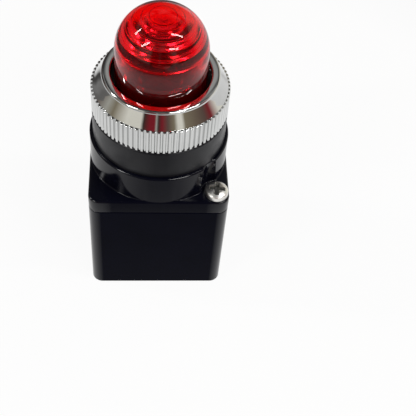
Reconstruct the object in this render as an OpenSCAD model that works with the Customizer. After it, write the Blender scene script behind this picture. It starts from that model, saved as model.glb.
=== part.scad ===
// Illuminated push button for a panel: domed stepped lens, knurled bezel, square contact housing.
// Millimetres. Origin at the middle of the housing's back face, +Z towards the lens, -Y is the front.

/* [Contact housing] */
// Width and depth of the square housing
case_w = 31.4; // [30.6:0.1:34]
// Height of the housing
case_h = 27.4; // [26.4:0.1:31]
// Radius of the upright corners
corner_r = 2.5; // [2:0.1:3]
// Rounding of the housing's upper edge
case_edge_r = 0.3; // [0.2:0.05:0.6]
// Thickness of the side walls
case_wall = 1.7; // [1.4:0.1:1.9]
// Thickness of the floor between the terminal bays and the contact chamber
floor_t = 4; // [3.6:0.1:4.8]

/* [Terminals] */
// Height of a terminal bay
bay_h = 8.5; // [8.2:0.1:9.4]
// Wall between neighbouring terminal bays
rib_t = 1; // [0.7:0.1:1.4]
// Depth of a terminal bay from the side face
bay_depth = 8.5; // [8:0.1:9]
// Thickness of the terminal strips
strip_t = 1; // [0.8:0.05:1.1]
// Gap between a terminal plate and the sides of its bay
plate_gap = 0.7; // [0.5:0.1:1]
// Step from a plate's edge to the narrower strip that passes the floor
strip_step = 0.8; // [0.6:0.1:1.3]
// How far the terminal plates stand back from the side faces
plate_setback = 1.1; // [0.8:0.1:1.4]
// Thickness of the square wire clamps
clamp_t = 0.8; // [0.6:0.05:1]
// Diameter of the terminal screws
terminal_screw_d = 3.5; // [3:0.1:3.6]
// Diameter of the terminal screw heads
terminal_head_d = 6; // [5.4:0.1:6.4]
// Height of the terminal screw heads
terminal_head_h = 2; // [1.6:0.1:2.1]

/* [Operator body] */
// Thickness of the square flange
flange_t = 3.6; // [3:0.1:4.6]
// Rounding of the flange's upper edge
flange_edge_r = 0.5; // [0.3:0.05:0.8]
// Depth of the spigot that centres the flange in the housing
spigot_h = 1.2; // [0.8:0.1:1.6]
// How far the collar stands back from the housing's faces
collar_inset = 0.1; // [0.05:0.05:0.4]
// Height of the round collar
collar_h = 7.5; // [6.8:0.1:9]
// Chamfer on the collar's upper edge
collar_chamfer = 0.25; // [0.2:0.05:0.7]
// Wall of the barrel that passes the panel
barrel_wall = 1; // [0.9:0.05:1.4]
// Height of the barrel above the collar
barrel_h = 11.8; // [11.2:0.1:12.2]
// Length of the bore that guides the plunger
guide_len = 7; // [5:0.1:7.6]
// Radius of the notch in the collar beside each fixing screw, at its foot
notch_r = 3.9; // [3.4:0.1:4.3]
// Radius of that notch at the collar's upper edge
notch_top_r = 3.3; // [3:0.1:3.9]

/* [Fixing screws] */
// Distance of each fixing screw from the two nearest faces
screw_inset = 2.85; // [2.6:0.05:3]
// Diameter of the fixing screws
screw_d = 3; // [2.5:0.1:3.2]
// Diameter of the fixing screw heads
screw_head_d = 5.1; // [4.4:0.1:5.2]
// Height of the fixing screw heads
screw_head_h = 2; // [1.5:0.1:2.4]
// Length of the fixing screws under the head
screw_len = 14; // [10:0.5:16]

/* [Panel spacer] */
// How far the spacer ring stands back from the collar
spacer_inset = 0.75; // [0.4:0.05:1]
// Wall of the spacer ring
spacer_wall = 2.25; // [2:0.05:2.6]
// Height of the spacer ring
spacer_h = 7.4; // [6.6:0.1:7.8]
// Chamfer on the spacer's upper edge
spacer_chamfer = 0.3; // [0.2:0.05:0.5]

/* [Bezel ring] */
// Wall of the bezel from its thread to the tips of the knurl
bezel_wall = 2.4; // [2:0.05:2.6]
// Height of the knurl
knurl_h = 6.3; // [5.8:0.1:6.6]
// Number of knurl teeth
knurl_teeth = 80; // [50:1:90]
// Depth of the knurl
knurl_depth = 0.45; // [0.3:0.05:0.6]
// Share of each pitch taken by the flat top of a tooth
knurl_land = 0.4; // [0.3:0.05:0.5]
// Share of each pitch taken by the flat floor of a gap
knurl_floor = 0.3; // [0.2:0.05:0.4]
// Height of the cone above the knurl
cone_h = 2.9; // [2.6:0.1:3.6]
// Wall of the bezel at the top of the cone
lip_wall = 2; // [1.8:0.05:2.2]
// Height of the flat lip above the cone
lip_rise = 0.6; // [0.5:0.05:0.8]
// Rounding of the lip's outer edge
lip_edge_r = 0.55; // [0.3:0.05:0.6]
// How far the bezel's inner shoulder reaches over the plunger's flange
shoulder_w = 0.5; // [0.4:0.05:0.8]

/* [Lens] */
// Running gap between the lens and the bezel
lens_gap = 0.8; // [0.4:0.05:1]
// Height of the lens top above the bezel's lip
lens_reach = 15.5; // [14.5:0.1:18]
// Wall of the lens
lens_wall = 1.1; // [1:0.05:1.2]
// Wall of the dome over the edges of its inner steps
dome_wall = 1; // [0.9:0.05:1.2]
// Share of the inner dome's radius taken by each round step
tier_share = [0.45, 0.65, 0.8, 0.92]; // [0.4:0.01:0.96]
// Drop of the innermost step below the inner dome
crown_drop = 0.3; // [0:0.05:0.5]
// Height of the lowest inner step above the foot of the dome
foot_tier_h = 1.3; // [0.8:0.1:2]
// Diameter of the round dimple over the innermost step
dimple_d = 5; // [4:0.1:6.4]
// Depth of that dimple
dimple_h = 0.2; // [0.1:0.05:0.45]

/* [Plunger] */
// Travel of the button
travel = 3.5; // [2.5:0.1:4]
// Thickness of the plunger's flange
plunger_flange_t = 2; // [1.6:0.1:2.4]
// Running gap round the plunger's flange
plunger_gap = 0.3; // [0.2:0.05:0.4]
// Wall of the plunger tube
tube_wall = 1.6; // [1.3:0.05:1.8]
// Height of the tube inside the foot of the lens
tube_reach = 6.5; // [5:0.1:8]
// Height of the return spring at rest
return_spring_h = 7.5; // [6.8:0.1:7.9]
// Wire of the return spring
return_wire = 0.7; // [0.5:0.05:0.8]
// Turns of the return spring
return_turns = 4; // [3:0.5:4.5]
// Wall of the carrier's ring round the plunger tube
carrier_wall = 1.1; // [0.9:0.05:1.4]
// Ledge of that ring under the tube
ledge_t = 1.3; // [1:0.1:1.6]

/* [Contacts] */
// Distance of the contact points from the terminal strips
contact_setback = 2; // [1.7:0.1:2.3]
// Diameter of the contact buttons
contact_d = 2.4; // [2:0.1:2.8]
// Height of the contact buttons
contact_h = 0.5; // [0.4:0.05:0.6]
// Thickness of the moving contact bars
bridge_t = 0.8; // [0.6:0.05:1]
// Width of the moving contact bars
bridge_w = 3; // [2.6:0.1:3.2]
// Height of the contact springs
contact_spring_h = 2.5; // [2.2:0.1:3]
// Wire of the contact springs
contact_wire = 0.35; // [0.3:0.05:0.45]
// Turns of the contact springs
contact_turns = 3.5; // [2.5:0.5:4]
// Gap between a carrier leg and the contact points beside it
leg_gap = 1.4; // [1:0.1:1.8]
// Gap between the carrier's legs and the lamp column
leg_post_gap = 0.6; // [0.4:0.05:0.9]
// Thickness of the carrier's legs
leg_t = 5; // [4.8:0.1:5.2]
// Web of a leg under its contact bar or spring
web_t = 1; // [0.8:0.1:1.2]
// Height of the carrier's ring
carrier_ring_h = 4; // [3:0.1:5]

/* [Lamp] */
// How far the lamp column stands out round the socket
post_rim = 0.4; // [0.2:0.05:0.6]
// Height of the lamp column above the chamber floor
lamp_post_h = 17.5; // [16.5:0.1:19]
// Thickness of the board under the lamp socket
insulator_t = 1.4; // [1:0.1:1.8]
// Height of the lamp socket
socket_h = 10; // [9:0.1:11]
// Gap between the lamp socket and the plunger tube
socket_gap = 1.5; // [1.1:0.1:1.8]
// Wall of the lamp socket
socket_wall = 0.8; // [0.6:0.05:1]
// Height of the lamp's metal cap
lamp_cap_h = 10.5; // [9.5:0.1:11]
// How much wider the bulb is than the lamp's cap, on each side
bulb_swell = 0.1; // [0:0.05:0.4]
// Height of the glass bulb
bulb_h = 16; // [13:0.1:17]
// Height of the bulb's narrow neck
neck_h = 3; // [2:0.1:4]
// How much narrower the neck is on each side
neck_in = 0.6; // [0.3:0.1:0.8]
// Diameter of the lamp's centre contact
centre_d = 2.8; // [2.4:0.1:3]

/* [Fits] */
// Gap between fixed pieces that fit together
fit_gap = 0.05; // [0.03:0.01:0.1]
// Gap round pieces that slide
slide_gap = 0.2; // [0.15:0.01:0.3]
// Gap between open contacts and at the ends of springs
contact_gap = 0.1; // [0.08:0.01:0.2]

/* [Hidden] */
$fn = 96;
eps = 0.01;

// Levels of the fixed pieces, from the back face up
z_floor = bay_h + floor_t;
z_flange = case_h;
z_collar = z_flange + flange_t;
z_spacer = z_collar + collar_h;
z_bezel = z_spacer + spacer_h;
z_cone = z_bezel + knurl_h;
z_lip = z_cone + cone_h;
z_crest = z_lip + lip_rise;
z_barrel = z_spacer + barrel_h;
z_top = z_crest + lens_reach;

// Levels of the plunger, from the bezel's inner shoulder down
z_shoulder = z_barrel + slide_gap;
z_lens = z_shoulder - contact_gap;
z_plunger = z_lens - plunger_flange_t;
z_seat = z_plunger - return_spring_h;
z_guide = z_seat - guide_len;
z_tube_top = z_lens + tube_reach;

// Levels of the contacts, from the chamber floor up
leg_clear = 0.7;
z_leg = z_floor + travel + leg_clear;
z_bridge = z_leg + web_t + contact_spring_h;
z_no = z_bridge - 2 * contact_h - contact_gap - travel;
z_nc = z_bridge + bridge_t + 2 * contact_h + contact_gap;
z_ring = z_nc + strip_t + travel + 2 * slide_gap;
z_no_leg = z_bridge - fit_gap - web_t;
z_tube = z_ring + ledge_t;

// Radii of the rings, from the housing's faces inwards
collar_r = case_w / 2 - collar_inset;
spacer_r = collar_r - spacer_inset;
barrel_r = spacer_r - spacer_wall - slide_gap;
barrel_in_r = barrel_r - barrel_wall;
thread_r = barrel_r + 2 * fit_gap;
bezel_r = thread_r + bezel_wall;
plunger_r = barrel_in_r - plunger_gap;
bezel_in_r = plunger_r - shoulder_w;
cone_top_r = bezel_in_r + lip_wall;

// Radii of the lens, the plunger and the lamp inside them
lens_r = bezel_in_r - lens_gap;
lens_in_r = lens_r - lens_wall;
dome_in_r = lens_r - dome_wall;
tube_r = lens_in_r - 2 * fit_gap;
tube_in_r = tube_r - tube_wall;
guide_r = tube_r + slide_gap;
carrier_r = tube_r + fit_gap + carrier_wall;
return_r = (tube_r + barrel_in_r) / 2;
socket_r = tube_in_r - socket_gap;
socket_in_r = socket_r - socket_wall;
lamp_cap_r = socket_in_r - slide_gap;
bulb_r = lamp_cap_r + bulb_swell;
lamp_post_r = socket_r + post_rim;

// Places on the plan
screw_at = case_w / 2 - screw_inset;
bay_in = case_w / 2 - bay_depth;
leg_x = bay_in + strip_t;
plate_out = case_w / 2 - plate_setback;
screw_x = (leg_x + plate_out) / 2;
contact_x = bay_in - contact_setback;
contact_y = lamp_post_r + leg_post_gap + leg_t / 2;
rows = [-contact_y, 0, contact_y];
leg_w = 2 * (contact_x - contact_d / 2 - leg_gap);
bay_w = contact_y - rib_t;
plate_w = bay_w - 2 * plate_gap;
strip_w = plate_w - 2 * strip_step;
chamber_r = norm([leg_w / 2, contact_y + leg_t / 2]) + 3 * slide_gap;
post_r = 3;
post_top = z_flange - spigot_h - fit_gap;

// Terminal screw levels
z_plate = bay_h - strip_t;
z_clamp = z_plate - clamp_t;
blind_end = 1;

// Lamp levels
z_post = z_floor + lamp_post_h;
z_socket = z_post + insulator_t;
lamp_tip_h = 1;
z_cap = z_socket + lamp_tip_h;
z_bulb = z_cap + lamp_cap_h;
pin_r = 0.8;
pin_z = z_cap + lamp_cap_h / 2;
post_foot_r = lamp_post_r * 2 / 3;
post_foot_h = floor_t / 2;
lamp_strip_w = 4;
lamp_strip_in = lamp_post_r - strip_t;
tip_arm_drop = 3;
z_tip_arm = z_post - tip_arm_drop;

// Screw heads: rounding of the edge and reach of the cross recess, as shares of the head
head_round = 0.45;
recess_share = 0.6;

// Steps along one turn of a spring, and sides of its wire
return_steps = 24;
return_sides = 8;
contact_steps = 16;
contact_sides = 6;

// A square with round corners, centred
module round_square(w, r) {
    square([w, w - 2 * r], center = true);
    square([w - 2 * r, w], center = true);
    for (x = [-1, 1], y = [-1, 1])
        translate([x, y] * (w / 2 - r)) circle(r);
}

// A prism on that square
module round_block(w, r, z0, z1) {
    translate([0, 0, z0]) linear_extrude(z1 - z0) round_square(w, r);
}

// Half of a disc's section with a round upper edge
module puck_section(r, h, edge) {
    square([r, h - edge]);
    square([r - edge, h]);
    translate([r - edge, h - edge]) circle(edge);
}

// The whole section of a bar with round upper edges
module bar_section(half, h, edge) {
    puck_section(half, h, edge);
    mirror([1, 0]) puck_section(half, h, edge);
}

// A square slab with round corners and a round upper edge
module soft_slab(w, h, r, edge) {
    for (turn = [90, 180])
        rotate([90, 0, turn]) linear_extrude(w - 2 * r, center = true) bar_section(w / 2, h, edge);
    for (x = [-1, 1], y = [-1, 1])
        translate([x * (w / 2 - r), y * (w / 2 - r), 0]) rotate_extrude() puck_section(r, h, edge);
}

// A tube or disc between two levels
module ring(r_out, r_in, z0, z1) {
    difference() {
        translate([0, 0, z0]) cylinder(r = r_out, h = z1 - z0);
        translate([0, 0, z0 - eps]) cylinder(r = r_in, h = z1 - z0 + 2 * eps);
    }
}

// A box given by its low and high corners
module block(low, high) {
    translate(low) cube(high - low);
}

// Both fixing screw corners: front right and back left
module at_screws() {
    for (s = [-1, 1]) translate([s * screw_at, -s * screw_at, 0]) children();
}

// Every terminal, with +X turned to face out of its side of the housing
module at_terminals() {
    for (side = [0, 180], y = rows) rotate([0, 0, side]) translate([0, y, 0]) children();
}

// Points on a round wire bent to a helix, ring after ring
function wire_ring(r, wire, z, turn, sides) =
    [for (k = [0 : sides - 1])
        let (a = 360 * k / sides, rr = r + wire / 2 * cos(a))
            [rr * cos(turn), rr * sin(turn), z + wire / 2 * sin(a)]];

// A coil spring of given mean radius and height, standing on z = 0
module coil(r, wire, h, turns, steps, sides) {
    count = ceil(turns * steps);
    rings = [for (i = [0 : count])
        each wire_ring(r, wire, wire / 2 + (h - wire) * i / count, 360 * turns * i / count, sides)];
    walls = [for (i = [0 : count - 1], k = [0 : sides - 1])
        let (n = (k + 1) % sides, a = i * sides, b = a + sides)
            each [[a + k, b + k, b + n], [a + k, b + n, a + n]]];
    first = [for (k = [0 : sides - 1]) k];
    last = [for (k = [sides - 1 : -1 : 0]) count * sides + k];
    polyhedron(rings, concat(walls, [first, last]));
}

// The cross recess of a screw, sunk from z = 0 down
module cross_recess(d, depth) {
    for (turn = [0, 90])
        rotate([0, 0, turn]) block([-d / 2, -d / 8, -depth], [d / 2, d / 8, eps]);
}

module contact_housing() {
    color("#16181c") difference() {
        soft_slab(case_w, case_h, corner_r, case_edge_r);
        chamber();
        at_terminals() terminal_bay();
        at_screws() translate([0, 0, z_collar - screw_len - 1])
            cylinder(r = screw_d / 2 + fit_gap, h = screw_len + 1);
        translate([0, 0, z_floor - post_foot_h]) cylinder(r = post_foot_r + fit_gap, h = post_foot_h + eps);
    }
}

// The room for the contacts, open upwards, round the two screw posts
module chamber() {
    difference() {
        round_block(case_w - 2 * case_wall, corner_r - case_wall + eps, z_floor, case_h + eps);
        at_screws() translate([0, 0, z_floor - eps]) cylinder(r = post_r, h = post_top - z_floor);
    }
}

// A bay open to the back and to the side, its strip slot and the screw's blind hole
module terminal_bay() {
    block([bay_in, -bay_w / 2, -eps], [case_w / 2 + eps, bay_w / 2, bay_h]);
    block([bay_in - fit_gap, -strip_w / 2 - fit_gap, bay_h - eps],
          [leg_x + fit_gap, strip_w / 2 + fit_gap, z_floor + eps]);
    translate([screw_x, 0, bay_h - eps])
        cylinder(d = terminal_screw_d + 4 * fit_gap, h = floor_t - blind_end);
}

module operator_body() {
    color("#14161a") difference() {
        union() {
            translate([0, 0, z_flange]) soft_slab(case_w, flange_t, corner_r, flange_edge_r);
            round_block(case_w - 2 * case_wall - 4 * fit_gap, corner_r - case_wall, z_flange - spigot_h,
                        z_flange + flange_t / 2);
            rotate_extrude() collar_section();
        }
        translate([0, 0, z_flange - spigot_h - eps])
            cylinder(r = chamber_r, h = z_guide - z_flange + spigot_h);
        translate([0, 0, z_guide - 1]) cylinder(r = guide_r, h = guide_len + 2);
        translate([0, 0, z_seat]) cylinder(r = barrel_in_r, h = z_barrel - z_seat + 1);
        at_screws() screw_passage();
    }
}

// Half section of the collar and the barrel above it
module collar_section() {
    z0 = z_flange + flange_t / 2;
    polygon([[0, z0], [collar_r, z0], [collar_r, z_spacer - collar_chamfer],
             [collar_r - collar_chamfer, z_spacer], [barrel_r, z_spacer], [barrel_r, z_barrel],
             [0, z_barrel]]);
}

// The screw's hole through the flange and the notch in the collar above it
module screw_passage() {
    translate([0, 0, z_flange - spigot_h - 1])
        cylinder(r = screw_d / 2 + slide_gap, h = flange_t + spigot_h + 2);
    translate([0, 0, z_collar]) cylinder(r1 = notch_r, r2 = notch_top_r, h = collar_h);
}

module panel_spacer() {
    r = spacer_r;
    color("#26282b") rotate_extrude() polygon([
        [r - spacer_wall, z_spacer], [r, z_spacer], [r, z_bezel - spacer_chamfer],
        [r - spacer_chamfer, z_bezel], [r - spacer_wall, z_bezel]]);
}

module bezel_ring() {
    color("#c9ccd0") difference() {
        intersection() {
            translate([0, 0, z_bezel]) linear_extrude(z_crest - z_bezel + 1) knurl_outline();
            rotate_extrude() bezel_section();
        }
        translate([0, 0, z_bezel - 1]) cylinder(r = thread_r, h = z_shoulder - z_bezel + 1);
        translate([0, 0, z_bezel]) cylinder(r = bezel_in_r, h = z_crest - z_bezel + 1);
    }
}

// Outline of the knurl: flat-topped teeth with sloping flanks and flat gap floors
module knurl_outline() {
    root = bezel_r - knurl_depth;
    pitch = 360 / knurl_teeth;
    low = knurl_floor / 2;
    high = (1 - knurl_land) / 2;
    polygon([for (i = [0 : knurl_teeth - 1])
        each [for (corner = [[root, low], [bezel_r, high], [bezel_r, 1 - high], [root, 1 - low]])
            let (a = pitch * (i + corner[1])) corner[0] * [cos(a), sin(a)]]]);
}

// Half section of the bezel: chamfered foot, knurl, cone and flat lip with a round edge
module bezel_section() {
    r = bezel_r;
    foot = 0.3;
    step = 0.2;
    polygon([[0, z_bezel], [r - foot, z_bezel], [r, z_bezel + foot], [r, z_cone], [r - step, z_cone],
             [cone_top_r, z_lip], [0, z_lip]]);
    translate([0, z_lip]) puck_section(cone_top_r, lip_rise, lip_edge_r);
}

module fixing_screws() {
    color("#b9bcc0") at_screws() translate([0, 0, z_collar]) pan_screw(screw_head_d, screw_head_h, screw_d,
                                                                      screw_len);
}

// A pan head screw: seat of the head at z = 0, shank downwards
module pan_screw(head_d, head_h, d, len) {
    difference() {
        union() {
            rotate_extrude() puck_section(head_d / 2, head_h, head_h * head_round);
            translate([0, 0, -len]) cylinder(d = d, h = len + eps);
        }
        translate([0, 0, head_h]) cross_recess(head_d * recess_share, head_h * recess_share);
    }
}

module lens() {
    color("#d01020") difference() {
        union() {
            translate([0, 0, z_lens]) cylinder(r = lens_r, h = z_top - lens_r - z_lens);
            translate([0, 0, z_top - lens_r]) round_end(lens_r);
        }
        lens_hollow(lens_in_r, z_top - lens_r + foot_tier_h);
        for (i = [0 : len(tier_share) - 1]) lens_hollow(tier_share[i] * dome_in_r, tier_z(i));
        lens_hollow(dimple_d / 2, tier_z(0) + dimple_h);
    }
}

// Level of a step: its edge lies on the inner dome, and the innermost one a little below it
function tier_z(i) = z_top - lens_r + dome_in_r * sqrt(1 - pow(tier_share[i], 2)) - (i == 0 ? crown_drop : 0);

// One round step of the lens's hollow, open at the foot
module lens_hollow(r, z_end) {
    translate([0, 0, z_lens - eps]) cylinder(r = r, h = z_end - z_lens + eps);
}

// Half a ball
module round_end(r) {
    rotate_extrude() intersection() {
        circle(r);
        square(r);
    }
}

module lens_holder() {
    color("#1b1c1e") difference() {
        union() {
            translate([0, 0, z_tube]) cylinder(r = tube_r, h = z_tube_top - z_tube);
            translate([0, 0, z_plunger]) cylinder(r = plunger_r, h = plunger_flange_t);
        }
        translate([0, 0, z_tube - eps]) cylinder(r = tube_in_r, h = z_tube_top - z_tube + 2 * eps);
    }
}

module return_spring() {
    color("#9fa3a8") translate([0, 0, z_seat + contact_gap])
        coil(return_r, return_wire, return_spring_h - 2 * contact_gap, return_turns, return_steps,
             return_sides);
}

// The ring under the plunger tube, with one leg for each contact bar
module contact_carrier() {
    color("#d8d4c4") difference() {
        union() {
            ring(carrier_r, tube_in_r, z_ring, z_ring + carrier_ring_h);
            for (s = [-1, 1]) translate([0, s * contact_y, 0])
                block([-leg_w / 2, -leg_t / 2, s < 0 ? z_leg : z_no_leg], [leg_w / 2, leg_t / 2, z_tube]);
        }
        translate([0, 0, z_tube]) cylinder(r = tube_r + fit_gap, h = carrier_ring_h);
        carrier_window(-1, z_bridge - contact_spring_h, z_bridge + bridge_t + fit_gap);
        carrier_window(1, z_bridge - fit_gap, z_bridge + bridge_t + contact_spring_h);
    }
}

// The slot in a leg that holds a contact bar and its spring
module carrier_window(s, z0, z1) {
    translate([0, s * contact_y, 0])
        block([-leg_w, -bridge_w / 2 - fit_gap, z0], [leg_w, bridge_w / 2 + fit_gap, z1]);
}

// A moving contact bar with two contact buttons, facing up or down
module contact_bridge(s, up) {
    reach = contact_x + contact_d / 2;
    color("#b87333") translate([0, s * contact_y, z_bridge]) {
        block([-reach, -bridge_w / 2, 0], [reach, bridge_w / 2, bridge_t]);
        for (x = [-1, 1]) translate([x * contact_x, 0, up ? bridge_t - eps : -contact_h])
            cylinder(d = contact_d, h = contact_h + eps);
    }
}

module nc_bridge() {
    contact_bridge(-1, true);
}

module no_bridge() {
    contact_bridge(1, false);
}

module contact_spring(s, z0) {
    color("#a7abb0") translate([0, s * contact_y, z0 + contact_gap])
        coil(bridge_w / 2 - contact_wire, contact_wire, contact_spring_h - 2 * contact_gap, contact_turns,
             contact_steps, contact_sides);
}

module nc_contact_spring() {
    contact_spring(-1, z_bridge - contact_spring_h);
}

module no_contact_spring() {
    contact_spring(1, z_bridge + bridge_t);
}

// A terminal plate with its screw hole, and the strip that rises from it through the floor
module terminal_strip(y, z_strip) {
    translate([0, y, 0]) difference() {
        union() {
            block([bay_in + fit_gap, -plate_w / 2, z_plate], [plate_out, plate_w / 2, bay_h]);
            block([bay_in, -strip_w / 2, z_plate], [leg_x, strip_w / 2, z_strip]);
        }
        translate([screw_x, 0, z_plate - 1]) cylinder(d = terminal_screw_d + 2 * fit_gap, h = strip_t + 2);
    }
}

// A terminal whose strip ends in a fixed contact; up says which way the contact faces
module contact_terminal(y, z_tab, up) {
    color("#c8a24a") {
        terminal_strip(y, z_tab + strip_t);
        translate([0, y, z_tab]) {
            block([contact_x - contact_d / 2, -strip_w / 2, 0], [leg_x, strip_w / 2, strip_t]);
            translate([contact_x, 0, up ? strip_t - eps : -contact_h])
                cylinder(d = contact_d, h = contact_h + eps);
        }
    }
}

module nc_terminal_left() {
    rotate([0, 0, 180]) contact_terminal(contact_y, z_nc, false);
}

module nc_terminal_right() {
    contact_terminal(-contact_y, z_nc, false);
}

module no_terminal_left() {
    rotate([0, 0, 180]) contact_terminal(-contact_y, z_no - strip_t, true);
}

module no_terminal_right() {
    contact_terminal(contact_y, z_no - strip_t, true);
}

// The lamp's feeds: inwards over the floor, then up in the groove of the lamp column
module lamp_strip(z_end) {
    terminal_strip(0, z_floor + strip_t);
    block([lamp_strip_in, -lamp_strip_w / 2, z_floor], [leg_x, lamp_strip_w / 2, z_floor + strip_t]);
    block([lamp_strip_in, -lamp_strip_w / 2, z_floor], [lamp_strip_in + strip_t, lamp_strip_w / 2, z_end]);
}

module lamp_terminal_shell() {
    color("#c8a24a") lamp_strip(z_socket);
}

module lamp_terminal_tip() {
    color("#c8a24a") rotate([0, 0, 180]) {
        lamp_strip(z_tip_arm);
        block([-lamp_strip_w / 2, -lamp_strip_w / 2, z_tip_arm - strip_t],
              [lamp_strip_in + eps, lamp_strip_w / 2, z_tip_arm]);
    }
}

module terminal_screws() {
    color("#c4c6c8") at_terminals() translate([screw_x, 0, z_clamp]) mirror([0, 0, 1])
        pan_screw(terminal_head_d, terminal_head_h, terminal_screw_d, bay_h + floor_t / 2 - z_clamp);
}

module terminal_clamps() {
    color("#b9bcc0") at_terminals() difference() {
        block([leg_x, -plate_w / 2, z_clamp], [plate_out, plate_w / 2, z_plate]);
        translate([screw_x, 0, z_clamp - 1]) cylinder(d = terminal_screw_d + 4 * fit_gap, h = clamp_t + 2);
    }
}

// The column that carries the lamp socket, with grooves for the two feeds
module lamp_holder() {
    color("#d8d4c4") difference() {
        union() {
            translate([0, 0, z_floor - post_foot_h]) cylinder(r = post_foot_r, h = post_foot_h + eps);
            translate([0, 0, z_floor]) cylinder(r = lamp_post_r, h = lamp_post_h);
        }
        for (x = [0, 180]) rotate([0, 0, x])
            block([lamp_strip_in - fit_gap, -lamp_strip_w / 2 - fit_gap, z_floor - eps],
                  [2 * lamp_post_r, lamp_strip_w / 2 + fit_gap, z_post + eps]);
        block([-2 * lamp_post_r, -lamp_strip_w / 2 - fit_gap, z_tip_arm - strip_t - fit_gap],
              [lamp_strip_w / 2 + fit_gap, lamp_strip_w / 2 + fit_gap, z_tip_arm + fit_gap]);
        translate([0, 0, z_tip_arm]) cylinder(d = centre_d + 2 * fit_gap, h = z_post - z_tip_arm + eps);
    }
}

module centre_contact() {
    color("#c8a24a") translate([0, 0, z_tip_arm]) cylinder(d = centre_d, h = z_socket - z_tip_arm);
}

module socket_insulator() {
    color("#8a5a3a") difference() {
        ring(lamp_post_r, centre_d / 2 + fit_gap, z_post, z_socket);
        block([lamp_strip_in - fit_gap, -lamp_strip_w / 2 - fit_gap, z_post - eps],
              [2 * lamp_post_r, lamp_strip_w / 2 + fit_gap, z_socket + eps]);
    }
}

// The brass shell of the socket, with two slots for the lamp's bayonet pins
module lamp_socket() {
    slot = pin_r + slide_gap;
    color("#c8a24a") difference() {
        ring(socket_r, socket_in_r, z_socket, z_socket + socket_h);
        block([-2 * socket_r, -slot, pin_z - slot], [2 * socket_r, slot, z_socket + socket_h + eps]);
    }
}

module lamp_cap() {
    color("#c9b36a") {
        translate([0, 0, z_cap]) cylinder(r = lamp_cap_r, h = lamp_cap_h);
        translate([0, 0, z_socket]) cylinder(d = centre_d, h = lamp_tip_h + eps);
        translate([-socket_r, 0, pin_z]) rotate([0, 90, 0]) cylinder(r = pin_r, h = 2 * socket_r);
    }
}

// The bulb: a narrower neck on the cap, then a round-ended envelope
module lamp_glass() {
    r = bulb_r;
    color("#e8e4dc") translate([0, 0, z_bulb]) {
        cylinder(r = r - neck_in, h = neck_h + eps);
        translate([0, 0, neck_h]) cylinder(r = r, h = bulb_h - neck_h - r);
        translate([0, 0, bulb_h - r]) round_end(r);
    }
}

contact_housing();
operator_body();
panel_spacer();
bezel_ring();
fixing_screws();
lens();
lens_holder();
return_spring();
contact_carrier();
nc_bridge();
no_bridge();
nc_contact_spring();
no_contact_spring();
nc_terminal_left();
nc_terminal_right();
no_terminal_left();
no_terminal_right();
lamp_terminal_shell();
lamp_terminal_tip();
terminal_screws();
terminal_clamps();
lamp_holder();
lamp_socket();
socket_insulator();
centre_contact();
lamp_cap();
lamp_glass();
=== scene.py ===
"""Looks of an illuminated push button: a domed red lens in a knurled chrome bezel, over a black spacer
ring, a round collar and a square contact housing. Lengths are metres, and MM is a millimetre in them."""

import math
from collections import namedtuple

import bmesh
import bpy
import numpy as np
from mathutils import Matrix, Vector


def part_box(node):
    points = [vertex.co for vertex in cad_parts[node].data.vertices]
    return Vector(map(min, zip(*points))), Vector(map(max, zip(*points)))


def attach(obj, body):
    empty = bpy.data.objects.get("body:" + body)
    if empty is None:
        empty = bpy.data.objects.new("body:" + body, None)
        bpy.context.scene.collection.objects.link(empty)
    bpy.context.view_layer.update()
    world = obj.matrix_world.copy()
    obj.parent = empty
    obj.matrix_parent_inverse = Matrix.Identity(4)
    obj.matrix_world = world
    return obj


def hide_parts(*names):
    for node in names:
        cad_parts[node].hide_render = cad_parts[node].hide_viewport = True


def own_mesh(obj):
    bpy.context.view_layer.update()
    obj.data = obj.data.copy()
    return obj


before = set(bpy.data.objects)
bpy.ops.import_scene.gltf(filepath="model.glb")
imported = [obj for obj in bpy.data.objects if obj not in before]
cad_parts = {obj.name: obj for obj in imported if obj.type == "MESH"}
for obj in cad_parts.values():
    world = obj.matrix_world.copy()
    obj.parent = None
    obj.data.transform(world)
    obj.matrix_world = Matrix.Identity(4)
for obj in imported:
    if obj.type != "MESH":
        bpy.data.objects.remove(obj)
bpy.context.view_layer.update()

MM = 0.001
TAU = 2 * math.pi
EIGHTH_TURN = math.pi / 4

# Corners of the pieces that the frame gives, and how far the lens travels
LENS_LOW, LENS_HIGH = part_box("lens")
BEZEL_LOW, BEZEL_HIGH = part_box("bezel_ring")
SPACER_LOW, SPACER_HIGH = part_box("panel_spacer")
BODY_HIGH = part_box("operator_body")[1]
CASE_LOW, CASE_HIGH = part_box("contact_housing")
SCREW_LOW, SCREW_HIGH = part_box("fixing_screws")
TERMINAL_SCREW_LOW, TERMINAL_SCREW_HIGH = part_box("terminal_screws")
SPRING_LOW, SPRING_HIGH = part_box("return_spring")

# Meshes: points this close are one, edges this short are dropped, a bend this slight gets no arc, the
# open ends of an outline run on by this much, and angles are told apart to this many digits
MERGE_GAP = 1e-7
SHORT_EDGE = 1e-8
SLIGHT_BEND = 1e-3
RUN_ON = 2 * MM
ANGLE_DIGITS = 9

# Lens: wall, inner steps as shares of the inner dome's radius, the dimple over them and the mesh
LENS_WALL = 1.1 * MM
DOME_WALL = 1.0 * MM
TIER_SHARES = (0.92, 0.80, 0.65, 0.45)
CROWN_DROP = 0.3 * MM
FOOT_TIER = 1.3 * MM
DIMPLE_R = 2.5 * MM
DIMPLE_H = 0.2 * MM
TIER_ROUND = 0.12 * MM
DOME_STEPS = 48
LENS_COLUMNS = 160
LENS_STRETCH = 0.8 * MM

# Lens polish: outside, on the steps, and the depths in the dome's wall where one turns into the other
OUTER_ROUGHNESS = 0.012
INNER_ROUGHNESS = 0.13
INNER_DEPTH = 0.6 * DOME_WALL
OUTER_DEPTH = 0.4 * DOME_WALL

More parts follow.
